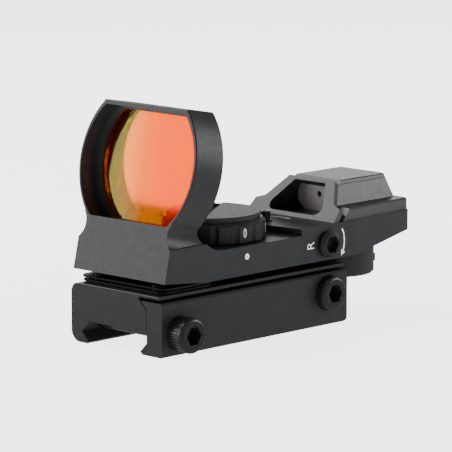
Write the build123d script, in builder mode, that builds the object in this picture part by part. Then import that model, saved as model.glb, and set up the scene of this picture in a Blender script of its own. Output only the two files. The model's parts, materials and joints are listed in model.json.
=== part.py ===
"""Red dot finder: an open reflex sight with a clamp for a 21 mm dovetail rail.

X runs along the line of sight, with the objective towards -X and the emitter towards +X.
The clamp bar, its screws and the windage screw are on the -Y side, and +Z is up.
The origin is the centre of the face that rests on the rail. All sizes are in millimetres.
"""
import os
from math import cos, radians, sin, tan

from build123d import *

os.makedirs("parts", exist_ok=True)

# ---------------------------------------------------------------- driving dimensions
RUN = 0.05                      # radial clearance of a shaft that turns
GAP = 0.1                       # clearance between faces that slide
CUT = 30.0                      # longer than anything that a cutting tool passes through

# rail clamp
BASE_LENGTH = 61.4
BASE_TOP = 8.6
BASE_FAR = 14.2                 # fixed jaw's outer face, +Y
BASE_NEAR = -10.5               # wall that the clamp bar closes against
LIP_Y = -14.45                  # edge of the top plate that roofs the clamp bar
LIP_Z = 7.9                     # underside of that edge
FOOT_Z = -5.2                   # lowest face of both jaws
RAIL_HALF = 10.6                # half of the 21.2 mm rail
APEX_Z = -2.5
BAR_OUT = -15.5
BAR_TOP = 7.2
CLAMP_X = (-25.1, 24.1)         # front and rear clamp screws
CLAMP_Z = (-0.2, 2.5)
CLAMP_SINK = (0.0, 2.3)         # how deep each head sits in the bar
CLAMP_TIP = (13.2, -4.4)        # y at which each shank ends
CLAMP_R = 2.0
CLAMP_HEAD_R = 4.1
CLAMP_HEAD = 4.7

# swivel plate and flexure under the housing
PIVOT_X = -22.0
PIVOT_R = 2.0
PLATE_Z = 8.75
PLATE_T = 0.45
LEAF_Z = 9.62
LEAF_T = 0.42
RIVETS = ((-25.6, 9.5), (-25.6, -9.5))

# housing
HALF = 14.9                     # half width
UNDER = 10.13
FRONT_X = -29.2
FRONT_Z = 11.4
RELIEF_X = -16.0                # the underside lifts towards the front from here
DECK = 16.9                     # floor around the dial
BLOCK_X = 13.9
BLOCK_TOP = 18.45
REAR_X = 55.2
REAR_Z = 13.7
SLOPE_X = 35.0
TAPER_X = 34.0
TAPER_HALF = 13.35
FACE_TILT = 13.1                # hood leans back by this angle
HOOD_DEPTH = 8.7
HOOD_R = 18.75
HOOD_MID = 25.8                 # arc centre, up along the leaning face
HOOD_TOP = 39.54
WINDOW_R = 18.0
WINDOW_LOW = 12.75
WINDOW_HIGH = 38.45
FILLET_R = 7.6                  # sweep from the deck up into the hood
SHOULDER_Z = 18.85
NECK_LOW = (HALF, 7.6)          # the neck's hollow, across and up on the leaning face
NECK_MID = (13.25, 10.5)
NECK_HIGH = (14.35, 13.75)
FACE_X = FRONT_X + (SHOULDER_Z - FRONT_Z) * tan(radians(FACE_TILT))
SWEEP_X = -10.5
SWEEP_Z = DECK + FILLET_R

# objective lens
LENS_TILT = 8.0
LENS_DEPTH = 5.2
LENS_MID = 25.6
LENS_R = 17.0
LENS_FLAT = 12.9
LENS_T = 0.9
MIRROR_R = 113.0

# dial and battery
DIAL_X = 0.36
DIAL_FLATS = 16
DIAL_APOTHEM = 12.95
DIAL_LOW = 17.2
DIAL_HIGH = 21.75
ZERO_ANGLE = -97.0              # direction in which the zero flat faces
CUP_R = 11.3
POCKET_R = 11.8
POCKET_Z = 12.2
BATTERY_R = 10.0
BATTERY_Z = 18.5
BATTERY_H = 3.2
CAP_R = 12.0
CAP_Z = 22.6
CAP_H = 0.5
SLOT_ANGLE = 34.5
DETENT_RING = 12.4              # radius on which the dial's detents lie
DETENT_R = 0.45
DETENT_XY = (DIAL_X + DETENT_RING * cos(radians(45)), DETENT_RING * sin(radians(45)))

# adjusters
WIND_X = 24.4
WIND_Z = 14.0
ELEV_X = 18.8
CAVITY_TOP = 16.8
CAVITY_HALF = 9.0

# emitter
ARCH_X = 27.3
ARCH_TILT = 47.0
ARCH_T = 1.6
FLANGE_TOP = 21.3
COVER_TOP = 26.8
COVER_SCREWS = ((37.0, 11.6), (37.0, -11.6), (50.5, 10.6), (50.5, -10.6))
SCREW_HEAD_Z = 14.6             # where their heads bear
EMIT_X = 43.1
KNOB_R = 9.5
KNOB_LOW = 3.2
KNOB_HIGH = 9.85
KNOB_RIB = (5.8, 1.7)           # grip ribs: lowest z and height
BOSS_LOW = 10.0
DRUM_R = 4.2
DRUM_LOW = 19.0
DRUM_HIGH = 24.9
LED_Z = 22.6

# ---------------------------------------------------------------- shared planes
UP = radians(FACE_TILT)
FACE_FRONT = Vector(-cos(UP), 0, sin(UP))
FACE_UP = Vector(sin(UP), 0, cos(UP))
FACE_FOOT = Vector(FRONT_X, 0, FRONT_Z)
FACE = Plane(origin=FACE_FOOT, x_dir=(0, -1, 0), z_dir=FACE_FRONT)
LEAN = radians(LENS_TILT)
LENS_FRONT = Vector(-cos(LEAN), 0, sin(LEAN))
LENS_VERTEX = FACE_FOOT + FACE_UP * LENS_MID - FACE_FRONT * LENS_DEPTH
LENS = Plane(origin=LENS_VERTEX, x_dir=(0, -1, 0), z_dir=LENS_FRONT)
SLANT = radians(ARCH_TILT)
ARCH_NORMAL = Vector(-sin(SLANT), 0, cos(SLANT))
ARCH = Plane(origin=(ARCH_X, 0, BLOCK_TOP), x_dir=(0, -1, 0), z_dir=ARCH_NORMAL)


def level(x, z, y=0.0):
    """A horizontal plane whose origin is at x, y, z."""
    return Plane(origin=(x, y, z), x_dir=(1, 0, 0), z_dir=(0, 0, 1))


def crosswise(x, y, z):
    """A plane that faces the -Y side, for screws that come in from there."""
    return Plane(origin=(x, y, z), x_dir=(1, 0, 0), z_dir=(0, -1, 0))


def underside(x):
    """Height of the housing's underside where it lifts towards the front."""
    return FRONT_Z + (UNDER - FRONT_Z) * (x - FRONT_X) / (RELIEF_X - FRONT_X)


def save(part, name):
    """Label one finished piece and write it."""
    part.label = name
    export_step(part, f"parts/{name}.step")


def lens_outline(grow=0.0, grow_flat=0.0):
    """Round lens with its top and bottom cut flat."""
    Circle(LENS_R + grow)
    Rectangle(2 * CUT, 2 * (LENS_FLAT + grow_flat), mode=Mode.INTERSECT)


def coil(radius, wire, height, turns, plane):
    """A compression spring standing on a plane, with its wire inside the stated height."""
    pitch = (height - 2 * wire) / turns
    with BuildPart() as spring:
        with BuildLine() as path:
            foot = plane.origin + plane.z_dir * wire
            Helix(pitch, height - 2 * wire, radius, center=foot, direction=plane.z_dir)
        start = path.line @ 0
        with BuildSketch(Plane(origin=start, z_dir=path.line % 0)):
            Circle(wire)
        sweep()
    return spring.part


# ---------------------------------------------------------------- rail clamp
with BuildPart() as rail_base:
    with BuildSketch(Plane.YZ.offset(-BASE_LENGTH / 2)) as section:
        with BuildLine():
            Polyline(
                (LIP_Y, BASE_TOP),
                (BASE_FAR, BASE_TOP),
                (BASE_FAR, FOOT_Z),
                (8.9, FOOT_Z),
                (8.4, -4.7),
                (RAIL_HALF, APEX_Z),
                (RAIL_HALF + APEX_Z, 0),
                (BASE_NEAR, 0),
                (BASE_NEAR, 5.1),
                (-8.1, 7.5),
                (-8.1, LIP_Z),
                (LIP_Y, LIP_Z),
                close=True,
            )
        make_face()
        corners = section.vertices().group_by(Axis.X)[-1]
        fillet(corners.sort_by(Axis.Y)[-1:], 2.3)
        fillet(section.vertices().group_by(Axis.Y)[0].sort_by(Axis.X)[-1:], 2.8)
    extrude(amount=BASE_LENGTH)
    with BuildSketch(level(PIVOT_X, BASE_TOP)):
        Circle(PIVOT_R + RUN)
    extrude(amount=-6.0, mode=Mode.SUBTRACT)
    with BuildSketch(level(WIND_X, BASE_TOP)):
        Circle(2.0)
    extrude(amount=-3.4, mode=Mode.SUBTRACT)
    for x, z, tip in zip(CLAMP_X, CLAMP_Z, CLAMP_TIP):
        with BuildSketch(crosswise(x, tip + 0.5, z)):
            Circle(CLAMP_R + RUN)
        extrude(amount=tip + 0.5 - BASE_NEAR + 1.0, mode=Mode.SUBTRACT)
    ends = rail_base.faces().filter_by(Plane.YZ)
    chamfer(ends.sort_by(Axis.X)[0].outer_wire().edges(), 0.15)
save(rail_base.part, "rail_base")

with BuildPart() as clamp_bar:
    with BuildSketch(Plane.YZ.offset(-BASE_LENGTH / 2)) as section:
        with BuildLine():
            Polyline(
                (-8.8, BAR_TOP),
                (BAR_OUT + 0.45, BAR_TOP),
                (BAR_OUT, BAR_TOP - 0.45),
                (BAR_OUT, FOOT_Z + 0.3),
                (BAR_OUT + 0.3, FOOT_Z),
                (-9.3, FOOT_Z),
                (-8.5, -4.5),
                (-RAIL_HALF, -2.4),
                (-RAIL_HALF, 5.4),
                close=True,
            )
        make_face()
    extrude(amount=BASE_LENGTH)
    tail = clamp_bar.edges().filter_by(Axis.Y).group_by(Axis.X)[-1]
    fillet(tail.sort_by(Axis.Z)[0], 1.2)
    for x, z, sink in zip(CLAMP_X, CLAMP_Z, CLAMP_SINK):
        with BuildSketch(crosswise(x, 0, z)):
            Circle(CLAMP_R + GAP)
        extrude(amount=CUT, mode=Mode.SUBTRACT)
        if sink:
            with BuildSketch(crosswise(x, BAR_OUT + sink, z)):
                Circle(CLAMP_HEAD_R + GAP)
            extrude(amount=CUT, mode=Mode.SUBTRACT)
save(clamp_bar.part, "clamp_bar")


def clamp_screw(x, z, sink, tip):
    """A knurled socket-head clamp screw that enters from the -Y side."""
    seat = BAR_OUT + sink
    with BuildPart() as screw:
        with BuildSketch(crosswise(x, seat, z)):
            Circle(CLAMP_HEAD_R)
        extrude(amount=CLAMP_HEAD)
        rim = screw.edges().filter_by(GeomType.CIRCLE).sort_by(Axis.Y)
        fillet(rim[0], 0.9)
        with BuildSketch(crosswise(x, seat, z)):
            with PolarLocations(CLAMP_HEAD_R + 0.1, 36):
                Circle(0.24)
        extrude(amount=CLAMP_HEAD - 1.0, mode=Mode.SUBTRACT)
        with BuildSketch(crosswise(x, seat - CLAMP_HEAD, z)):
            RegularPolygon(4.0 / 2, 6, major_radius=False)
        extrude(amount=-3.2, mode=Mode.SUBTRACT)
        with BuildSketch(crosswise(x, seat, z)):
            Circle(CLAMP_R)
        extrude(amount=-(tip - seat))
        chamfer(screw.edges().filter_by(GeomType.CIRCLE).sort_by(Axis.Y)[-1], 0.4)
    return screw.part


for place, x, z, sink, tip in zip(("front", "rear"), CLAMP_X, CLAMP_Z, CLAMP_SINK, CLAMP_TIP):
    save(clamp_screw(x, z, sink, tip), f"clamp_screw_{place}")

# ---------------------------------------------------------------- swivel plate and flexure
with BuildPart() as swivel_plate:
    with BuildSketch(Plane.XY.offset(PLATE_Z)) as outline:
        with Locations((-20.0, 0)):
            RectangleRounded(16.8, 27.0, 2.0)
        with Locations((3.0, 0)):
            Rectangle(46.0, 17.0)
        with Locations((WIND_X, 0)):
            Rectangle(7.6, 8.4, mode=Mode.SUBTRACT)
        with Locations((PIVOT_X, 0)):
            Circle(1.6, mode=Mode.SUBTRACT)
        with Locations(*RIVETS):
            Circle(0.9, mode=Mode.SUBTRACT)
        with Locations((ELEV_X, 0)):
            Circle(1.9, mode=Mode.SUBTRACT)
    extrude(amount=PLATE_T)
save(swivel_plate.part, "swivel_plate")

with BuildPart() as pivot_pin:
    with BuildSketch(level(PIVOT_X, PLATE_Z)):
        Circle(PIVOT_R)
    extrude(amount=-5.6)
    with BuildSketch(level(PIVOT_X, PLATE_Z)):
        Circle(1.6)
    extrude(amount=PLATE_T)
    with BuildSketch(level(PIVOT_X, PLATE_Z + PLATE_T)):
        Circle(2.4)
    extrude(amount=0.35)
save(pivot_pin.part, "pivot_pin")

with BuildPart() as flexure_leaf:
    with BuildSketch(Plane.XY.offset(LEAF_Z)):
        with Locations((-20.2, 0)):
            RectangleRounded(16.2, 28.0, 2.2)
        with Locations(*RIVETS):
            Circle(0.9, mode=Mode.SUBTRACT)
        with Locations((-17.6, 0)):
            SlotOverall(12.0, 2.4, rotation=90, mode=Mode.SUBTRACT)
    extrude(amount=LEAF_T)
save(flexure_leaf.part, "flexure_leaf")

with BuildPart() as leaf_rivets:
    with BuildSketch(Plane.XY.offset(PLATE_Z)):
        with Locations(*RIVETS):
            Circle(0.9)
    extrude(amount=LEAF_Z + LEAF_T - PLATE_Z)
    for z, height in ((PLATE_Z + PLATE_T, LEAF_Z - PLATE_Z - PLATE_T), (LEAF_Z + LEAF_T, 0.3)):
        with BuildSketch(Plane.XY.offset(z)):
            with Locations(*RIVETS):
                Circle(1.8)
        extrude(amount=height)
save(leaf_rivets.part, "leaf_rivets")

with BuildPart() as elevation_nut:
    with BuildSketch(level(ELEV_X, PLATE_Z)):
        Circle(1.9)
    extrude(amount=PLATE_T)
    with BuildSketch(level(ELEV_X, PLATE_Z + PLATE_T)):
        Circle(1.95)
    extrude(amount=4.0)
    with BuildSketch(level(ELEV_X, PLATE_Z)):
        Circle(1.2 + GAP)
    extrude(amount=CUT, mode=Mode.SUBTRACT)
save(elevation_nut.part, "elevation_nut")

with BuildPart() as adjuster_post:
    with BuildSketch(level(WIND_X, BASE_TOP)):
        Rectangle(5.6, 5.6)
    extrude(amount=7.6)
    chamfer(adjuster_post.edges().filter_by(Axis.Z), 0.5)
    with BuildSketch(level(WIND_X, BASE_TOP)):
        Circle(2.0)
    extrude(amount=-3.2)
    with BuildSketch(crosswise(WIND_X, CUT / 2, WIND_Z)):
        SlotOverall(4.8, 3.3, rotation=90)
    extrude(amount=CUT, mode=Mode.SUBTRACT)
save(adjuster_post.part, "adjuster_post")

# ---------------------------------------------------------------- housing
with BuildPart() as recess_tool:
    with BuildSketch(FACE) as window:
        with Locations((0, HOOD_MID)):
            Circle(WINDOW_R)
        with Locations((0, (WINDOW_LOW + WINDOW_HIGH) / 2)):
            Rectangle(2 * CUT, WINDOW_HIGH - WINDOW_LOW, mode=Mode.INTERSECT)
        fillet(window.vertices(), 1.2)
    extrude(amount=-HOOD_DEPTH - 4)
    split(bisect_by=LENS.offset(0.9), keep=Keep.TOP)

with BuildPart() as neck:
    # the hollow neck runs on behind the hood, as far as the sweep up from the deck
    with BuildSketch(FACE):
        with BuildLine():
            Polyline((0, NECK_LOW[1] - 2), (HALF, NECK_LOW[1] - 2), NECK_LOW)
            ThreePointArc(NECK_LOW, NECK_MID, NECK_HIGH)
            Line(NECK_HIGH, (0, NECK_HIGH[1]))
            mirror(about=Plane.YZ)
        make_face()
    extrude(amount=-HOOD_DEPTH - 6)
    with BuildSketch(Plane.XZ.offset(-CUT)):
        with Locations((SWEEP_X, SWEEP_Z)):
            Circle(FILLET_R)
        with Locations((SWEEP_X + CUT / 2, DECK + CUT / 2)):
            Rectangle(CUT, CUT)
    extrude(amount=2 * CUT, mode=Mode.SUBTRACT)

with BuildPart() as body:
    # dial deck, rear block and tail, with the front face below the neck
    with BuildSketch(Plane.XZ):
        with BuildLine():
            step = (FILLET_R**2 - (SWEEP_Z - SHOULDER_Z) ** 2) ** 0.5
            foot = (SWEEP_X, DECK)
            top = (SWEEP_X - step, SHOULDER_Z)
            Polyline(
                (FACE_X, SHOULDER_Z),
                (FRONT_X, FRONT_Z),
                (RELIEF_X, UNDER),
                (SLOPE_X, UNDER),
                (REAR_X, REAR_Z),
                (REAR_X, BLOCK_TOP),
                (BLOCK_X, BLOCK_TOP),
                (BLOCK_X, DECK),
                foot,
            )
            RadiusArc(foot, top, FILLET_R)
            Line(top, (FACE_X, SHOULDER_Z))
        make_face()
    extrude(amount=HALF, both=True)
    # tail tapers in plan
    with BuildSketch(Plane.XY):
        with BuildLine():
            Polyline(
                (TAPER_X, HALF),
                (REAR_X + 2, TAPER_HALF - 0.14),
                (REAR_X + 2, HALF + 5),
                (TAPER_X, HALF + 5),
                close=True,
            )
        make_face()
        mirror(about=Plane.XZ)
    extrude(amount=CUT, mode=Mode.SUBTRACT)
    fillet(body.edges().filter_by(Axis.Z).group_by(Axis.X)[-1], 1.2)

with BuildPart() as main_housing:
    # hood, neck and front face, drawn on the leaning face
    with BuildSketch(FACE) as front:
        with BuildLine():
            crown = (12.77, HOOD_TOP + 0.6)
            Polyline((0, 2.0), (HALF, 2.0), NECK_LOW)
            ThreePointArc(NECK_LOW, NECK_MID, NECK_HIGH)
            ThreePointArc(NECK_HIGH, (HOOD_R, HOOD_MID), crown)
            Line(crown, (0, crown[1]))
            mirror(about=Plane.YZ)
        make_face()
    extrude(amount=-HOOD_DEPTH)
    corners = main_housing.edges().filter_by(Axis(FACE_FOOT, FACE_FRONT)).group_by(Axis.Z)[-1]
    fillet(corners, 1.6)
    # the hood's top slopes back less than its sides lean
    with BuildSketch(Plane.XZ):
        with BuildLine():
            low = FACE_FOOT + FACE_UP * HOOD_TOP
            Polyline(
                (low.X - 5, low.Z + 5 * tan(radians(FACE_TILT - 3.3))),
                (low.X + 15, low.Z - 15 * tan(radians(FACE_TILT - 3.3))),
                (low.X + 15, low.Z + 8),
                (low.X - 5, low.Z + 8),
                close=True,
            )
        make_face()
    extrude(amount=CUT, both=True, mode=Mode.SUBTRACT)
    rim = main_housing.faces().sort_by(Axis(FACE_FOOT, FACE_FRONT))[-1].edges()
    chamfer(rim.sort_by(Axis.Z)[3:], 0.25)
    add(body.part)
    add(neck.part)
    # rear block's front wall is a shallow V that clears the dial
    with BuildSketch(Plane.XY.offset(DECK)):
        with BuildLine():
            Polyline((BLOCK_X - 1, 0), (BLOCK_X, 0), (15.7, HALF), (BLOCK_X - 1, HALF), close=True)
        make_face()
        mirror(about=Plane.XZ)
    extrude(amount=5, mode=Mode.SUBTRACT)
    with BuildSketch(level(DIAL_X, DECK)):
        Circle(13.45)
    extrude(amount=8, mode=Mode.SUBTRACT)
    # battery pocket, detent hole
    with BuildSketch(level(DIAL_X, DECK)):
        Circle(POCKET_R)
    extrude(amount=POCKET_Z - DECK, mode=Mode.SUBTRACT)
    # cavity that holds the adjusters, open underneath
    with BuildSketch(Plane.XY.offset(UNDER - 3)):
        with Locations((22.3, 0)):
            RectangleRounded(15.4, 2 * CAVITY_HALF, 1.5)
    extrude(amount=CAVITY_TOP - UNDER + 3, mode=Mode.SUBTRACT)
    # windage screw bore and windage spring pocket
    with BuildSketch(crosswise(WIND_X, 0, WIND_Z)):
        Circle(2.4 + RUN)
    extrude(amount=CUT, mode=Mode.SUBTRACT)
    with BuildSketch(crosswise(WIND_X, CAVITY_HALF + 3.4, WIND_Z)):
        Circle(2.3)
    extrude(amount=5, mode=Mode.SUBTRACT)
    # elevation screw bore
    with BuildSketch(level(ELEV_X, CAVITY_TOP - 1)):
        Circle(1.3 + RUN)
    extrude(amount=5, mode=Mode.SUBTRACT)
    # boss under the emitter, with the selector shaft's bore
    with BuildSketch(level(EMIT_X, BOSS_LOW)):
        Circle(KNOB_R)
    extrude(amount=6.2)
    with BuildSketch(level(EMIT_X, 0)):
        Circle(2.0 + RUN)
    extrude(amount=CUT, mode=Mode.SUBTRACT)
    # window recess, lens shoulder and lens pocket
    add(recess_tool.part, mode=Mode.SUBTRACT)
    with BuildSketch(LENS.offset(3)):
        lens_outline(-0.6, -0.2)
    extrude(amount=-14, mode=Mode.SUBTRACT)
    with BuildSketch(LENS.offset(-0.35)):
        lens_outline(0.3, 0.2)
    extrude(amount=-9, mode=Mode.SUBTRACT)
    # detent holes under the dial and above the selector
    with BuildSketch(level(DETENT_XY[0], DECK, DETENT_XY[1])):
        Circle(DETENT_R + RUN)
    extrude(amount=-3.6, mode=Mode.SUBTRACT)
    with BuildSketch(level(EMIT_X + 6.3, BOSS_LOW)):
        Circle(0.7)
    extrude(amount=3.6, mode=Mode.SUBTRACT)
    # screws that hold the emitter cover come up from below
    with BuildSketch(Plane.XY):
        with Locations(*COVER_SCREWS):
            Circle(1.1)
    extrude(amount=CUT, mode=Mode.SUBTRACT)
    with BuildSketch(Plane.XY):
        with Locations(*COVER_SCREWS):
            Circle(2.0)
    extrude(amount=SCREW_HEAD_Z, mode=Mode.SUBTRACT)
save(main_housing.part, "main_housing")

# ---------------------------------------------------------------- objective lens
def mirror_sphere(back):
    """Centre of the spherical surface whose vertex lies this far behind the lens vertex."""
    return LENS_VERTEX - LENS_FRONT * (MIRROR_R + back)


def lens_element(front, back):
    """One meniscus of the doublet, between two equal spherical surfaces."""
    with BuildPart() as element:
        with BuildSketch(LENS.offset(1)):
            lens_outline()
        extrude(amount=-8)
        with Locations(mirror_sphere(front)):
            Sphere(MIRROR_R, mode=Mode.INTERSECT)
        with Locations(mirror_sphere(back)):
            Sphere(MIRROR_R, mode=Mode.SUBTRACT)
    return element.part


save(lens_element(0, LENS_T), "objective_front_element")
save(lens_element(LENS_T, 2 * LENS_T), "objective_rear_element")

with BuildPart() as lens_seal:
    with BuildSketch(LENS.offset(-1.1)):
        lens_outline(0.28, 0.18)
    extrude(amount=-1.7)
    with BuildSketch(LENS):
        lens_outline(0.02, 0.02)
    extrude(amount=-CUT, mode=Mode.SUBTRACT)
save(lens_seal.part, "lens_seal")

# ---------------------------------------------------------------- dial, cap and battery
with BuildPart() as dial_ring:
    with BuildSketch(level(DIAL_X, DIAL_LOW)):
        RegularPolygon(DIAL_APOTHEM, DIAL_FLATS, major_radius=False, rotation=ZERO_ANGLE + 180 / DIAL_FLATS)
        with PolarLocations(13.75, DIAL_FLATS, start_angle=ZERO_ANGLE + 180 / DIAL_FLATS):
            Circle(1.3, mode=Mode.SUBTRACT)
        Circle(CUP_R + 0.08, mode=Mode.SUBTRACT)
    extrude(amount=DIAL_HIGH - DIAL_LOW)
    with BuildSketch(Plane(origin=(DIAL_X, 0, 0), x_dir=(1, 0, 0), z_dir=(0, -1, 0))):
        with BuildLine():
            Polyline((12.1, DIAL_HIGH), (13.4, DIAL_HIGH - 1.1), (13.4, DIAL_HIGH), close=True)
        make_face()
    revolve(axis=Axis((DIAL_X, 0, 0), (0, 0, 1)), mode=Mode.SUBTRACT)
    with BuildSketch(level(DIAL_X, DIAL_LOW)):
        with PolarLocations(DETENT_RING, DIAL_FLATS, start_angle=45):
            Circle(0.35)
    extrude(amount=0.15, mode=Mode.SUBTRACT)
save(dial_ring.part, "dial_ring")

with BuildPart() as dial_wiper:
    with BuildSketch(level(DIAL_X, POCKET_Z + 0.9)):
        Circle(CUP_R + 0.38)
        Circle(CUP_R + 0.12, mode=Mode.SUBTRACT)
        with Locations((8, 0)):
            Rectangle(8, 3.2, mode=Mode.INTERSECT)
    extrude(amount=DIAL_LOW - POCKET_Z - 0.9)
save(dial_wiper.part, "dial_wiper")

with BuildPart() as battery_cup:
    with BuildSketch(level(DIAL_X, POCKET_Z + 0.85)):
        Circle(CUP_R)
    extrude(amount=CAP_Z - GAP - POCKET_Z - 0.85)
    with BuildSketch(level(DIAL_X, DIAL_HIGH + 0.05)):
        Circle(CAP_R - 0.25)
    extrude(amount=CAP_Z - GAP - DIAL_HIGH - 0.05)
    with BuildSketch(level(DIAL_X, BATTERY_Z - 0.9)):
        Circle(BATTERY_R + 0.15)
    extrude(amount=CUT, mode=Mode.SUBTRACT)
    with BuildSketch(level(DIAL_X, BATTERY_Z + BATTERY_H + 0.05)):
        Circle(10.85)
    extrude(amount=CUT, mode=Mode.SUBTRACT)
    with BuildSketch(level(DIAL_X, POCKET_Z)):
        Circle(CUP_R - 1.1)
    extrude(amount=BATTERY_Z - 2.4 - POCKET_Z, mode=Mode.SUBTRACT)
    with BuildSketch(level(DIAL_X, POCKET_Z)):
        with Locations((0, BATTERY_R + 0.4)):
            Rectangle(3.6, 0.9)
    extrude(amount=BATTERY_Z + BATTERY_H - POCKET_Z, mode=Mode.SUBTRACT)
save(battery_cup.part, "battery_cup")

with BuildPart() as battery:
    with BuildSketch(level(DIAL_X, BATTERY_Z)):
        Circle(BATTERY_R - 0.8)
    extrude(amount=0.25)
    with BuildSketch(level(DIAL_X, BATTERY_Z + 0.25)):
        Circle(BATTERY_R)
    extrude(amount=BATTERY_H - 0.25)
    rims = battery.edges().filter_by(GeomType.CIRCLE).sort_by(Axis.Z)
    chamfer(rims[-1], 0.25)
save(battery.part, "battery")

with BuildPart() as battery_spring:
    with BuildSketch(Plane(origin=(DIAL_X, 1.5, BATTERY_Z - 0.9), x_dir=(1, 0, 0), z_dir=(0, -1, 0))):
        with BuildLine():
            bent_up = ((7.4, 0.68), (7.4, 0.88), (6.8, 0.88), (1.9, 0.2))
            Polyline((-8, 0), (2, 0), *bent_up, (-8, 0.2), close=True)
        make_face()
    extrude(amount=3)
save(battery_spring.part, "battery_spring")

with BuildPart() as battery_side_contact:
    with BuildSketch(level(DIAL_X, POCKET_Z + 0.85, BATTERY_R + 0.4)):
        Rectangle(3.0, 0.3)
    extrude(amount=BATTERY_Z + BATTERY_H - POCKET_Z - 1.2)
save(battery_side_contact.part, "battery_side_contact")

with BuildPart() as switch_board:
    with BuildSketch(level(DIAL_X, POCKET_Z)):
        Circle(POCKET_R - 0.1)
    extrude(amount=0.8)
save(switch_board.part, "switch_board")

with BuildPart() as cap_gasket:
    with BuildSketch(level(DIAL_X, CAP_Z - 0.07)):
        Circle(11.7)
        Circle(11.05, mode=Mode.SUBTRACT)
    extrude(amount=0.3)
save(cap_gasket.part, "cap_gasket")

with BuildPart() as battery_cap:
    with BuildSketch(level(DIAL_X, CAP_Z)):
        Circle(CAP_R)
    extrude(amount=CAP_H)
    chamfer(battery_cap.edges().filter_by(GeomType.CIRCLE).sort_by(Axis.Z)[-1], 0.3)
    with BuildSketch(level(DIAL_X, CAP_Z)):
        Circle(10.8)
    extrude(amount=-(CAP_Z - BATTERY_Z - BATTERY_H - 0.1))
    with BuildSketch(level(DIAL_X, CAP_Z - 1)):
        Circle(11.75)
        Circle(11.0, mode=Mode.SUBTRACT)
    extrude(amount=1.27, mode=Mode.SUBTRACT)
    with BuildSketch(level(DIAL_X, CAP_Z + CAP_H)):
        Rectangle(2 * CUT, 1.7, rotation=SLOT_ANGLE)
    extrude(amount=-0.85, mode=Mode.SUBTRACT)
save(battery_cap.part, "battery_cap")

with BuildPart() as dial_detent_ball:
    with Locations((*DETENT_XY, DIAL_LOW - 0.03 - DETENT_R)):
        Sphere(DETENT_R)
save(dial_detent_ball.part, "dial_detent_ball")
save(coil(0.3, 0.07, 2.8, 6, level(DETENT_XY[0], DECK - 3.55, DETENT_XY[1])), "dial_detent_spring")

# ---------------------------------------------------------------- adjusting screws
with BuildPart() as windage_screw:
    with BuildSketch(crosswise(WIND_X, -HALF - 0.03, WIND_Z)):
        Circle(3.2)
    extrude(amount=1.7)
    chamfer(windage_screw.edges().filter_by(GeomType.CIRCLE).sort_by(Axis.Y)[0], 0.75, 0.75)
    with BuildSketch(crosswise(WIND_X, -HALF - 1.73, WIND_Z)):
        RegularPolygon(1.9, 6, major_radius=False)
    extrude(amount=-2.2, mode=Mode.SUBTRACT)
    with BuildSketch(crosswise(WIND_X, -HALF - 0.03, WIND_Z)):
        Circle(2.4)
    extrude(amount=-(HALF - CAVITY_HALF))
    with BuildSketch(crosswise(WIND_X, -CAVITY_HALF - 0.5, WIND_Z)):
        Circle(1.5)
    extrude(amount=-12.7)
save(windage_screw.part, "windage_screw")

with BuildPart() as windage_clip:
    with BuildSketch(crosswise(WIND_X, -CAVITY_HALF + 0.08, WIND_Z)):
        Circle(2.7)
        Circle(1.5, mode=Mode.SUBTRACT)
    extrude(amount=-0.5)
save(windage_clip.part, "windage_clip")

WIND_SPRING_END = CAVITY_HALF + 3.35
save(
    coil(1.75, 0.22, 8.3, 6, crosswise(WIND_X, WIND_SPRING_END, WIND_Z)),
    "windage_spring",
)

with BuildPart() as elevation_screw:
    with BuildSketch(level(ELEV_X, CAVITY_TOP)):
        Circle(1.3)
    extrude(amount=20.9 - CAVITY_TOP)
    with BuildSketch(level(ELEV_X, BLOCK_TOP + 0.03)):
        Circle(1.75)
    extrude(amount=0.35)
    with BuildSketch(level(ELEV_X, 20.9)):
        RegularPolygon(0.75, 6, major_radius=False)
    extrude(amount=-1.4, mode=Mode.SUBTRACT)
    with BuildSketch(level(ELEV_X, CAVITY_TOP)):
        Circle(1.2)
    extrude(amount=-7.2)
save(elevation_screw.part, "elevation_screw")

with BuildPart() as elevation_clip:
    with BuildSketch(level(ELEV_X, CAVITY_TOP - 0.08)):
        Circle(2.4)
        Circle(1.2, mode=Mode.SUBTRACT)
    extrude(amount=-0.5)
save(elevation_clip.part, "elevation_clip")
save(coil(2.25, 0.18, 6.4, 5, level(ELEV_X, PLATE_Z + PLATE_T + 0.02)), "elevation_spring")

# ---------------------------------------------------------------- emitter
BOX_FRONT = (30.0, 34.0)        # raised box, each pair at its foot and at its roof
BOX_REAR = (54.6, 53.2)
BOX_HALF = (9.7, 7.3)
BOX_ROUND = 1.3
HOLLOW_FRONT = (28.6, 34.6)     # its inside, which is open towards the objective
HOLLOW_REAR = (53.6, 52.1)
HOLLOW_HALF = (8.6, 6.2)
ROOF_T = 1.1
PANEL = (19.4, 4.3)             # sunk panel in each side of the box: length and height
PANEL_X = 44.3
PANEL_DEPTH = 0.5


def tapered_box(front, rear, half, low, high):
    """A box whose ends and sides lean inwards from its foot to its roof."""
    with BuildPart() as box:
        for z, x1, x2, y in zip((low, high), front, rear, half):
            with BuildSketch(Plane.XY.offset(z)):
                with Locations(((x1 + x2) / 2, 0)):
                    RectangleRounded(x2 - x1, 2 * y, BOX_ROUND)
        loft()
    return box.part


def panel_tool(side):
    """A shallow panel sunk into one leaning side of the raised box."""
    lean = (BOX_HALF[0] - BOX_HALF[1]) / (COVER_TOP - FLANGE_TOP)
    normal = Vector(0, side, lean).normalized()
    middle = Vector(PANEL_X, side * (BOX_HALF[0] + BOX_HALF[1]) / 2, (COVER_TOP + FLANGE_TOP) / 2)
    with BuildPart() as tool:
        with BuildSketch(Plane(origin=middle, x_dir=(1, 0, 0), z_dir=normal)) as panel:
            Rectangle(*PANEL)
            fillet(panel.vertices(), 0.9)
        extrude(amount=-PANEL_DEPTH)
        extrude(to_extrude=panel.sketch, amount=0.5)
    return tool.part


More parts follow.
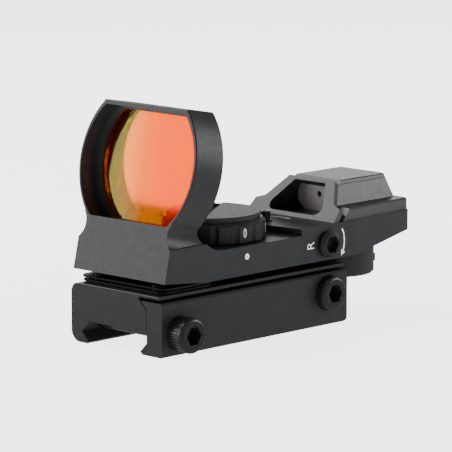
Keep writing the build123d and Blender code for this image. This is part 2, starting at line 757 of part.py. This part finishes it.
with BuildPart() as emitter_cover:
    with BuildSketch(Plane.XY.offset(BLOCK_TOP + 0.02)):
        with BuildLine():
            Polyline((ARCH_X, 0), (ARCH_X, 14.45), (TAPER_X, 14.45), (REAR_X - 0.1, 13.0), (REAR_X - 0.1, 0))
            mirror(about=Plane.XZ)
        make_face()
    extrude(amount=FLANGE_TOP - BLOCK_TOP - 0.02)
    fillet(emitter_cover.edges().filter_by(Axis.Z).group_by(Axis.X)[-1], 1.1)
    chamfer(emitter_cover.faces().sort_by(Axis.Z)[-1].edges(), 0.35)
    # nose of the flange leans back, clear of the frame
    with BuildSketch(ARCH.offset(-ARCH_T - 0.45)):
        Rectangle(4 * CUT, 4 * CUT)
    extrude(amount=CUT, mode=Mode.SUBTRACT)
    add(tapered_box(BOX_FRONT, BOX_REAR, BOX_HALF, FLANGE_TOP - 0.6, COVER_TOP))
    chamfer(emitter_cover.faces().sort_by(Axis.Z)[-1].edges(), 0.25)
    hollow = tapered_box(HOLLOW_FRONT, HOLLOW_REAR, HOLLOW_HALF, BLOCK_TOP - 1, COVER_TOP - ROOF_T)
    add(hollow, mode=Mode.SUBTRACT)
    for side in (1, -1):
        add(panel_tool(side), mode=Mode.SUBTRACT)
    # the box ends just behind the frame
    with BuildSketch(ARCH.offset(-ARCH_T - 0.15)):
        Rectangle(4 * CUT, 4 * CUT)
    extrude(amount=CUT, mode=Mode.SUBTRACT)
    with BuildSketch(Plane.XY.offset(BLOCK_TOP - 1)):
        with Locations(*COVER_SCREWS):
            Circle(1.0)
    extrude(amount=3.2, mode=Mode.SUBTRACT)
save(emitter_cover.part, "emitter_cover")

with BuildPart() as emitter_frame:
    rise = (FLANGE_TOP - BLOCK_TOP) / sin(SLANT)
    reach = (COVER_TOP - BLOCK_TOP) / sin(SLANT)
    with BuildSketch(ARCH) as outline:
        with BuildLine():
            Polyline((0, 0.03), (14.2, 0.03), (13.7, rise), (11.1, rise + 1.0), (7.4, reach), (0, reach))
            mirror(about=Plane.YZ)
        make_face()
        fillet(outline.vertices().group_by(Axis.Y)[2], 1.6)
        with BuildSketch(ARCH, mode=Mode.SUBTRACT) as opening:
            with BuildLine():
                Polyline((0, 1.2), (9.6, 1.2), (4.9, reach - 0.95), (0, reach - 0.95))
                mirror(about=Plane.YZ)
            make_face()
            fillet(opening.vertices().group_by(Axis.Y)[0], 2.0)
            fillet(opening.vertices().group_by(Axis.Y)[-1], 0.6)
    extrude(amount=-ARCH_T)
    # the foot stands flat on the housing
    with BuildSketch(Plane.XY.offset(BLOCK_TOP + 0.02)):
        with Locations((ARCH_X, 0)):
            Rectangle(CUT, 2 * CUT)
    extrude(amount=-5, mode=Mode.SUBTRACT)
save(emitter_frame.part, "emitter_frame")

with BuildPart() as cover_screws:
    with BuildSketch(Plane.XY.offset(SCREW_HEAD_Z)):
        with Locations(*COVER_SCREWS):
            Circle(1.0)
    extrude(amount=5.4)
    with BuildSketch(Plane.XY.offset(SCREW_HEAD_Z)):
        with Locations(*COVER_SCREWS):
            Circle(1.85)
    extrude(amount=-1.2)
    with BuildSketch(Plane.XY.offset(SCREW_HEAD_Z - 1.2)):
        with Locations(*COVER_SCREWS):
            RegularPolygon(0.75, 6, major_radius=False)
    extrude(amount=0.7, mode=Mode.SUBTRACT)
save(cover_screws.part, "cover_screws")

with BuildPart() as emitter_baffle:
    with BuildSketch(Plane.YZ.offset(37.6)) as plate:
        with BuildLine():
            Polyline((0, BLOCK_TOP), (5.0, BLOCK_TOP), (6.9, 20.4), (6.9, 22.6), (6.0, 25.2), (0, 25.2))
            mirror(about=Plane.YZ)
        make_face()
        with Locations((0, LED_Z)):
            Circle(0.7, mode=Mode.SUBTRACT)
    extrude(amount=0.6)
save(emitter_baffle.part, "emitter_baffle")

with BuildPart() as led_board:
    with BuildSketch(Plane.XY.offset(25.3)):
        with Locations((EMIT_X, 0)):
            RectangleRounded(9.0, 9.0, 1.0)
    extrude(amount=0.38)
save(led_board.part, "led_board")

with BuildPart() as led_holder:
    with BuildSketch(level(EMIT_X, 25.3)):
        Circle(1.9)
    extrude(amount=-4.6)
    with BuildSketch(Plane.YZ.offset(EMIT_X - 3)):
        with Locations((0, LED_Z)):
            Circle(1.05)
    extrude(amount=3.0, mode=Mode.SUBTRACT)
save(led_holder.part, "led_holder")

with BuildPart() as led:
    with BuildSketch(Plane.YZ.offset(EMIT_X)):
        with Locations((0, LED_Z)):
            Circle(1.0)
    extrude(amount=-1.2)
    with Locations((EMIT_X - 1.2, 0, LED_Z)):
        Sphere(1.0)
save(led.part, "led")

with BuildPart() as reticle_drum:
    with BuildSketch(level(EMIT_X, DRUM_LOW)):
        Circle(DRUM_R)
    extrude(amount=DRUM_HIGH - DRUM_LOW)
    with BuildSketch(level(EMIT_X, DRUM_LOW + 0.9)):
        Circle(DRUM_R - 0.8)
    extrude(amount=CUT, mode=Mode.SUBTRACT)
    for plane in (Plane.YZ.offset(EMIT_X - CUT / 2), crosswise(EMIT_X, CUT / 2, 0)):
        with BuildSketch(plane):
            with Locations((0, LED_Z)):
                Circle(1.0)
        extrude(amount=CUT, mode=Mode.SUBTRACT)
    with BuildSketch(level(EMIT_X, DRUM_LOW)):
        Circle(2.0)
    extrude(amount=-(DRUM_LOW - KNOB_LOW - 0.9))
save(reticle_drum.part, "reticle_drum")

with BuildPart() as reticle_masks:
    for angle in range(0, 360, 90):
        turn = radians(angle)
        outward = Vector(cos(turn), sin(turn), 0)
        seat = Vector(EMIT_X, 0, LED_Z) + outward * (DRUM_R - 0.55)
        with BuildSketch(Plane(origin=seat, z_dir=outward)):
            Circle(0.98)
        extrude(amount=0.12)
save(reticle_masks.part, "reticle_masks")

with BuildPart() as selector_knob:
    with BuildSketch(level(EMIT_X, KNOB_LOW)):
        Circle(KNOB_R)
    extrude(amount=KNOB_HIGH - KNOB_LOW)
    chamfer(selector_knob.edges().filter_by(GeomType.CIRCLE).sort_by(Axis.Z)[0], 0.5)
    with BuildSketch(level(EMIT_X, KNOB_RIB[0])):
        with PolarLocations(KNOB_R, 4, start_angle=45):
            RectangleRounded(0.6, 1.5, 0.25)
    extrude(amount=KNOB_RIB[1])
    with BuildSketch(level(EMIT_X, KNOB_LOW)):
        Circle(2.0)
    extrude(amount=KNOB_HIGH, mode=Mode.SUBTRACT)
    with BuildSketch(level(EMIT_X, KNOB_HIGH)):
        with PolarLocations(6.3, 4):
            Circle(0.5)
    extrude(amount=-0.2, mode=Mode.SUBTRACT)
save(selector_knob.part, "selector_knob")

with BuildPart() as selector_screw:
    with BuildSketch(level(EMIT_X, KNOB_LOW + 0.9)):
        Circle(1.95)
    extrude(amount=-0.7)
    with BuildSketch(level(EMIT_X, KNOB_LOW + 0.2)):
        Rectangle(2.8, 0.5)
        Rectangle(0.5, 2.8)
    extrude(amount=0.4, mode=Mode.SUBTRACT)
save(selector_screw.part, "selector_screw")

with BuildPart() as selector_detent_ball:
    with Locations((EMIT_X + 6.3, 0, KNOB_HIGH + 0.03 + 0.62)):
        Sphere(0.62)
save(selector_detent_ball.part, "selector_detent_ball")
save(coil(0.45, 0.1, 2.4, 6, level(EMIT_X + 6.3, KNOB_HIGH + 1.3)), "selector_detent_spring")
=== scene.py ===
"""Looks of the red dot finder: materials, printed marks, floor, lights and camera. Metres."""
import json
import math

import bpy
from mathutils import Matrix, Vector


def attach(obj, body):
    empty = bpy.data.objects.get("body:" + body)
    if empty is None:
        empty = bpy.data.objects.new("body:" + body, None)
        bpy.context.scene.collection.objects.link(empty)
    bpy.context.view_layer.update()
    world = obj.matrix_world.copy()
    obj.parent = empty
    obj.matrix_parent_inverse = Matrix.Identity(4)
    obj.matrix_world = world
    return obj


MM = 0.001
NOISE_LOW, NOISE_HIGH = 0.3, 0.7  # the part of a noise's range that most of its values lie in

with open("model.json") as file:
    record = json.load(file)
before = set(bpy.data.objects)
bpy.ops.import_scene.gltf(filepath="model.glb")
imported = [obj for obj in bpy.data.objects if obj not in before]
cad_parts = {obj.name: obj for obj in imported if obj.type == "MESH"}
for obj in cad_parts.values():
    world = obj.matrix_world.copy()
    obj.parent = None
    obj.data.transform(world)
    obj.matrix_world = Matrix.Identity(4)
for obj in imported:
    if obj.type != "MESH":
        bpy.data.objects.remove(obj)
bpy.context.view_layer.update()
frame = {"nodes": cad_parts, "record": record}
nodes = frame["nodes"]


# ---------------------------------------------------------------- materials
def new_material(name):
    """An empty node material, its tree, and its shader."""
    material = bpy.data.materials.new(name)
    material.use_nodes = True
    tree = material.node_tree
    shader = tree.nodes["Principled BSDF"]
    return material, tree, shader


def noise(tree, size_mm, detail=2.0):
    """Noise whose grains are about this size on the object."""
    where = tree.nodes.new("ShaderNodeTexCoord")
    texture = tree.nodes.new("ShaderNodeTexNoise")
    texture.inputs["Scale"].default_value = 1.0 / (size_mm * MM)
    texture.inputs["Detail"].default_value = detail
    tree.links.new(where.outputs["Object"], texture.inputs["Vector"])
    return texture.outputs["Fac"]


def ramp(tree, value, stops):
    """A colour ramp over a value. stops is a list of (place, colour)."""
    node = tree.nodes.new("ShaderNodeValToRGB")
    elements = node.color_ramp.elements
    while len(elements) < len(stops):
        elements.new(0.5)
    for element, (place, colour) in zip(elements, stops):
        element.position = place
        element.color = (*colour, 1.0)
    tree.links.new(value, node.inputs["Fac"])
    return node.outputs["Color"]


def spread(tree, value, low, high):
    """A noise value mapped onto low to high."""
    node = tree.nodes.new("ShaderNodeMapRange")
    node.inputs["From Min"].default_value = NOISE_LOW
    node.inputs["From Max"].default_value = NOISE_HIGH
    node.inputs["To Min"].default_value = low
    node.inputs["To Max"].default_value = high
    tree.links.new(value, node.inputs["Value"])
    return node.outputs["Result"]


def bump(tree, shader, height, depth_mm):
    """Relief of this depth on the shader's normal."""
    node = tree.nodes.new("ShaderNodeBump")
    node.inputs["Distance"].default_value = depth_mm * MM
    tree.links.new(height, node.inputs["Height"])
    tree.links.new(node.outputs["Normal"], shader.inputs["Normal"])


def tinted(shade, factor):
    """A colour made lighter or darker."""
    return tuple(factor * c for c in shade)


def finish(
    name, shade, roughness, metallic=0.0, mottle=0.1, cloud_mm=3.0, grain_mm=0.3, depth_mm=0.006, gleam=0.3
):
    """A surface with mottled colour, uneven gloss and a fine grain."""
    material, tree, shader = new_material(name)
    cloud = noise(tree, cloud_mm, 4.0)
    dark = tinted(shade, 1 - mottle)
    light = tinted(shade, 1 + mottle)
    colour = ramp(tree, cloud, [(NOISE_LOW, dark), (NOISE_HIGH, light)])
    tree.links.new(colour, shader.inputs["Base Color"])
    shader.inputs["Metallic"].default_value = metallic
    shader.inputs["Specular IOR Level"].default_value = gleam
    gloss = spread(tree, noise(tree, cloud_mm / 3), roughness - 0.04, roughness + 0.05)
    tree.links.new(gloss, shader.inputs["Roughness"])
    bump(tree, shader, noise(tree, grain_mm, 3.0), depth_mm)
    return material


LENS_HALF = 17.0 * MM
LENS_CLOUD_MM = 6.0
LENS_WAVE_MM = 8.0


def across_lens(tree, stops):
    """A colour that runs across the lens, from its near side to its far side."""
    where = tree.nodes.new("ShaderNodeTexCoord")
    axes = tree.nodes.new("ShaderNodeSeparateXYZ")
    tree.links.new(where.outputs["Object"], axes.inputs["Vector"])
    place = tree.nodes.new("ShaderNodeMapRange")
    place.inputs["From Min"].default_value = -LENS_HALF
    place.inputs["From Max"].default_value = LENS_HALF
    tree.links.new(axes.outputs["Y"], place.inputs["Value"])
    return ramp(tree, place.outputs["Result"], stops)


def objective_coating(name):
    """The mirror coat: red-orange by reflection, with a painted shift of its reflection across the lens,
    and it lets a little over a quarter through.
    """
    material, tree, shader = new_material(name)
    # painted reflection: the coat is deep red-orange on the near side, where the lens reflects darker
    # things, and turns amber towards the far side
    stops = [
        (0.0, (0.90, 0.03, 0.0)),
        (0.45, (0.90, 0.04, 0.0)),
        (0.75, (0.90, 0.13, 0.0)),
        (1.0, (0.90, 0.16, 0.0)),
    ]
    tree.links.new(across_lens(tree, stops), shader.inputs["Base Color"])
    tree.links.new(spread(tree, noise(tree, LENS_CLOUD_MM), 0.07, 0.12), shader.inputs["Roughness"])
    shader.inputs["Metallic"].default_value = 1.0
    shader.inputs["Alpha"].default_value = 0.72
    bump(tree, shader, noise(tree, LENS_WAVE_MM), 0.003)
    return material


def rear_glass(name):
    """Glass that passes yellow-green, the colour that the mirror coat leaves over, with a painted crescent
    of light on its far side.
    """
    material, tree, shader = new_material(name)
    # painted light: the glass is dim brown-orange over the near side and bright yellow on the far side, a
    # painted crescent where light through the lens shows
    stops = [
        (0.0, (0.34, 0.13, 0.0)),
        (0.65, (0.42, 0.20, 0.0)),
        (0.84, (1.0, 0.99, 0.08)),
        (1.0, (0.99, 1.0, 0.08)),
    ]
    tree.links.new(across_lens(tree, stops), shader.inputs["Base Color"])
    tree.links.new(spread(tree, noise(tree, LENS_CLOUD_MM), 0.01, 0.03), shader.inputs["Roughness"])
    shader.inputs["Transmission Weight"].default_value = 1.0
    shader.inputs["IOR"].default_value = 1.12
    bump(tree, shader, noise(tree, LENS_WAVE_MM), 0.002)
    return material


FINISHES = {
    "housing_black": finish("housing_anodised", (0.013, 0.0135, 0.015), 0.38, gleam=0.42),
    "cover_black": finish("cover_anodised", (0.026, 0.0265, 0.028), 0.36, depth_mm=0.008, gleam=0.75),
    "frame_black": finish("frame_anodised", (0.022, 0.0225, 0.024), 0.36, gleam=0.6),
    "black_anodised": finish("clamp_anodised", (0.012, 0.012, 0.013), 0.36, cloud_mm=2.5, gleam=0.42),
    "cap_satin": finish(
        "cap_anodised", (0.030, 0.032, 0.035), 0.40,
        grain_mm=0.2, depth_mm=0.003, gleam=0.12,
    ),
    "blackened_steel": finish(
        "screw_black_oxide", (0.007, 0.007, 0.008), 0.26,
        mottle=0.2, cloud_mm=2.0, grain_mm=0.5, depth_mm=0.001, gleam=0.6,
    ),
    "blackened_plate": finish(
        "plate_black_oxide", (0.006, 0.006, 0.007), 0.42,
        mottle=0.3, cloud_mm=1.5, gleam=0.15,
    ),
    "bright_steel": finish(
        "bright_steel", (0.50, 0.50, 0.49), 0.30,
        metallic=1.0, mottle=0.08, cloud_mm=0.8, grain_mm=0.1, depth_mm=0.003,
    ),
    "battery_steel": finish(
        "nickelled_steel", (0.62, 0.61, 0.58), 0.24,
        metallic=1.0, mottle=0.06, cloud_mm=1.2, grain_mm=0.1, depth_mm=0.002,
    ),
    "brass": finish(
        "brass", (0.68, 0.48, 0.20), 0.30,
        metallic=1.0, mottle=0.1, cloud_mm=0.8, grain_mm=0.1, depth_mm=0.003,
    ),
    "black_sealant": finish("black_sealant", (0.008, 0.008, 0.008), 0.45),
    "black_rubber": finish("black_rubber", (0.010, 0.010, 0.010), 0.65),
    "black_plastic": finish("black_plastic", (0.012, 0.012, 0.012), 0.5, cloud_mm=1.5),
    "grey_plastic": finish("grey_plastic", (0.30, 0.30, 0.305), 0.45, cloud_mm=1.5, gleam=0.5),
    "green_board": finish("board_mask", (0.01, 0.09, 0.04), 0.3, cloud_mm=1.2),
    "clear_red": finish("red_emitter", (0.35, 0.015, 0.012), 0.15, cloud_mm=0.8),
    "mask_film": finish("mask_film", (0.010, 0.010, 0.012), 0.3, cloud_mm=0.6),
    "coated_glass": objective_coating("objective_coating"),
}
for part in frame["record"]["subparts"]:
    mesh = nodes[part["node"]].data
    mesh.materials.clear()
    mesh.materials.append(FINISHES[part["material_slot"]])

# the rear element's glass differs from the coated front element's
rear_mesh = nodes["objective_rear_element"].data
rear_mesh.materials.clear()
rear_mesh.materials.append(rear_glass("objective_rear_glass"))


# ---------------------------------------------------------------- printed marks
PAINT_T = 0.02 * MM
FONT_SIZE = 1.38                # font size of lettering whose capitals are 1 high
THINNING = 0.02                 # taken off each side of a letter's strokes, as a share of its height
BARB_ANGLE = 28                 # between an arrow's shaft and each side of its head
white_paint = finish(
    "white_paint", (0.80, 0.80, 0.79), 0.5, mottle=0.05, cloud_mm=0.6, grain_mm=0.15, depth_mm=0.002,
)


def plane_at(origin_mm, right, up):
    """A frame at a point of the object, with its x and y along right and up, and z out of the surface."""
    right = Vector(right).normalized()
    up = Vector(up).normalized()
    out = right.cross(up)
    place = Matrix((right, up, out)).transposed().to_4x4()
    place.translation = Vector(origin_mm) * MM
    return place


def finish_mark(obj, place, body):
    """Place a mark, paint it, and let it ride."""
    obj.matrix_world = place
    obj.data.materials.clear()
    obj.data.materials.append(white_paint)
    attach(obj, body)


def lettering(name, text, height_mm, place, body, narrow=1.0):
    """Flat raised lettering with thin strokes, centred on its place."""
    curve = bpy.data.curves.new(name + "_curve", "FONT")
    curve.body = text
    curve.size = height_mm * FONT_SIZE * MM
    curve.align_x = "CENTER"
    curve.align_y = "CENTER"
    curve.extrude = PAINT_T
    curve.offset = -THINNING * height_mm * MM
    source = bpy.data.objects.new(name + "_source", curve)
    bpy.context.scene.collection.objects.link(source)
    bpy.context.view_layer.update()
    mesh = bpy.data.meshes.new_from_object(source)
    mesh.transform(Matrix.Diagonal((narrow, 1.0, 1.0, 1.0)))
    bpy.data.objects.remove(source)
    obj = bpy.data.objects.new(name, mesh)
    bpy.context.scene.collection.objects.link(obj)
    finish_mark(obj, place, body)


def stroke(name, points_mm, width_mm, place, body, closed=False):
    """A painted line of even width along flat points, as a thin solid ribbon."""
    half = width_mm / 2 * MM
    points = [Vector((x, y, 0)) * MM for x, y in points_mm]
    count = len(points)
    edges = []
    for i, p in enumerate(points):
        before = points[i - 1] if (i or closed) else p
        after = points[(i + 1) % count] if (i + 1 < count or closed) else p
        along = (after - before).normalized()
        edges.append(Vector((-along.y, along.x, 0)) * half)
    verts = []
    for p, edge in zip(points, edges):
        for offset in (edge, -edge):
            for z in (0.0, PAINT_T):
                verts.append(p + offset + Vector((0, 0, z)))
    faces = []
    for i in range(count if closed else count - 1):
        a = 4 * i
        b = 4 * ((i + 1) % count)
        faces += [
            (a, b, b + 1, a + 1),
            (a + 1, b + 1, b + 3, a + 3),
            (a + 3, b + 3, b + 2, a + 2),
            (a + 2, b + 2, b, a),
        ]
    if not closed:
        last = 4 * (count - 1)
        faces += [(0, 1, 3, 2), (last, last + 2, last + 3, last + 1)]
    mesh = bpy.data.meshes.new(name)
    mesh.from_pydata(verts, [], faces)
    mesh.update()
    obj = bpy.data.objects.new(name, mesh)
    bpy.context.scene.collection.objects.link(obj)
    finish_mark(obj, place, body)


def arc(radius, start, end, count):
    """Points along an arc round the origin, in this many steps, angles in degrees."""
    step = math.radians(end - start) / count
    first = math.radians(start)
    angles = [first + k * step for k in range(count + 1)]
    return [(radius * math.cos(angle), radius * math.sin(angle)) for angle in angles]


def arrow(name, points, width, head, place, body):
    """A curved line with an open arrow head at its last point."""
    stroke(name + "_shaft", points, width, place, body)
    tip = Vector(points[-1])
    back = (Vector(points[-3]) - tip).normalized()
    barbs = []
    for turn in (BARB_ANGLE, -BARB_ANGLE):
        swing = Matrix.Rotation(math.radians(turn), 2)
        barbs.append(tuple(tip + (swing @ back) * head))
    corner = tuple(tip - back * width * 0.3)
    stroke(name + "_head", [barbs[0], corner, barbs[1]], width, place, body)


SIDE_Y = -14.9                 # near side face of the housing
DECK_Z = 18.45                 # top of the rear block
SCREW_X, SCREW_Z = 24.4, 14.0  # windage screw
ELEVATION_X = 18.8              # elevation screw
DIAL_X = 0.36                   # dial's centre
DIAL_APOTHEM = 12.95
DIAL_MID_Z = 19.3               # height of the digits' middle
DIAL_POSITIONS = 12
ZERO_ANGLE = -97.0              # direction in which the zero flat faces
DIAL_STEP = 22.5                # from one flat to the next
INDEX_X, INDEX_Z = -2.63, 14.42
LETTER_X, LETTER_Z = 18.85, 14.15
DIGIT_H = 2.2
LETTER_H = 2.5
LINE_W = 0.3
HEAD_L = 1.25


def side(x, z):
    """A frame on the housing's near side face."""
    return plane_at((x, SIDE_Y, z), (1, 0, 0), (0, 0, 1))


stroke("index_mark", arc(0.46, 0, 345, 24), 0.42, side(INDEX_X, INDEX_Z), "housing", closed=True)
arrow("windage_arrow", arc(5.9, 31, -33, 20), LINE_W, HEAD_L, side(SCREW_X, SCREW_Z), "housing")
turned = plane_at((LETTER_X, SIDE_Y, LETTER_Z), (0, 0, 1), (-1, 0, 0))
lettering("windage_letter", "R", LETTER_H, turned, "housing")
deck = plane_at((ELEVATION_X, 0, DECK_Z), (1, 0, 0), (0, 1, 0))
arrow("elevation_arrow", arc(6.2, 32, -24, 20), LINE_W, HEAD_L, deck, "housing")

for digit in range(0, DIAL_POSITIONS, 2):
    angle = math.radians(ZERO_ANGLE + digit * DIAL_STEP)
    outward = Vector((math.cos(angle), math.sin(angle), 0))
    right = Vector((0, 0, 1)).cross(outward)
    spot = Vector((DIAL_X, 0, DIAL_MID_Z)) + outward * DIAL_APOTHEM
    flat = plane_at(spot, right, (0, 0, 1))
    lettering(f"dial_digit_{digit}", str(digit), DIGIT_H, flat, "dial", narrow=0.66)


# ---------------------------------------------------------------- floor, lights and camera
FLOOR_Z = -5.22 * MM            # just under the jaws' feet
FLOOR_HALF = 6.0
FLOOR_GLOW = 3.2


def make_floor():
    """A pale seamless floor that the feet stand on."""
    corners = [
        (-FLOOR_HALF, -FLOOR_HALF, FLOOR_Z),
        (FLOOR_HALF, -FLOOR_HALF, FLOOR_Z),
        (FLOOR_HALF, FLOOR_HALF, FLOOR_Z),
        (-FLOOR_HALF, FLOOR_HALF, FLOOR_Z),
    ]
    mesh = bpy.data.meshes.new("floor")
    mesh.from_pydata(corners, [], [(0, 1, 2, 3)])
    floor = bpy.data.objects.new("floor", mesh)
    bpy.context.scene.collection.objects.link(floor)
    material, _, shader = new_material("floor_white")
    shader.inputs["Base Color"].default_value = (0.95, 0.95, 0.95, 1)
    shader.inputs["Roughness"].default_value = 0.9
    shader.inputs["Emission Color"].default_value = (1, 1, 1, 1)
    shader.inputs["Emission Strength"].default_value = FLOOR_GLOW
    mesh.materials.append(material)
    # the black parts' gloss doesn't show the floor
    floor.visible_glossy = False


def soft_box(name, place_mm, aim_mm, width_mm, height_mm, power):
    """An area light that faces a point of the object."""
    data = bpy.data.lights.new(name, "AREA")
    data.shape = "RECTANGLE"
    data.size = width_mm * MM
    data.size_y = height_mm * MM
    data.energy = power
    lamp = bpy.data.objects.new(name, data)
    bpy.context.scene.collection.objects.link(lamp)
    lamp.location = Vector(place_mm) * MM
    facing = Vector(aim_mm) - Vector(place_mm)
    lamp.rotation_euler = facing.to_track_quat("-Z", "Y").to_euler()


def make_world(strength):
    """An even white surround."""
    world = bpy.data.worlds.new("studio")
    bpy.context.scene.world = world
    world.use_nodes = True
    background = world.node_tree.nodes["Background"]
    background.inputs["Color"].default_value = (1.0, 1.0, 1.0, 1)
    background.inputs["Strength"].default_value = strength


CAMERA_TURN = math.radians(-45.623)     # from the near side round to the front
CAMERA_LIFT = math.radians(9.718)       # above the horizon
CAMERA_PLACE = Vector((-575.35, -568.53, 157.93)) * MM
CAMERA_LENS = 281.6


def make_camera():
    """A long lens from the near front corner, a little above."""
    right = Vector((math.cos(CAMERA_TURN), math.sin(CAMERA_TURN), 0.0))
    level = Vector((math.sin(CAMERA_TURN), -math.cos(CAMERA_TURN), 0.0))
    back = level * math.cos(CAMERA_LIFT) + Vector((0, 0, math.sin(CAMERA_LIFT)))
    up = back.cross(right)
    data = bpy.data.cameras.new("camera")
    data.sensor_width = 36.0
    data.lens = CAMERA_LENS
    data.clip_start = 0.01
    camera = bpy.data.objects.new("camera", data)
    bpy.context.scene.collection.objects.link(camera)
    place = Matrix((right, up, back)).transposed().to_4x4()
    place.translation = CAMERA_PLACE
    camera.matrix_world = place
    bpy.context.scene.camera = camera


make_floor()
make_world(0.3)
soft_box("key_front_left", (-330, 330, 115), (-20, 0, 30), 360, 250, 0.82)
soft_box("side_right", (450, -300, 170), (40, 0, 15), 300, 280, 0.95)
soft_box("back", (420, 414, 160), (30, 0, 20), 360, 160, 0.35)
soft_box("top", (-70, 270, 330), (20, 0, 15), 320, 260, 0.95)
make_camera()
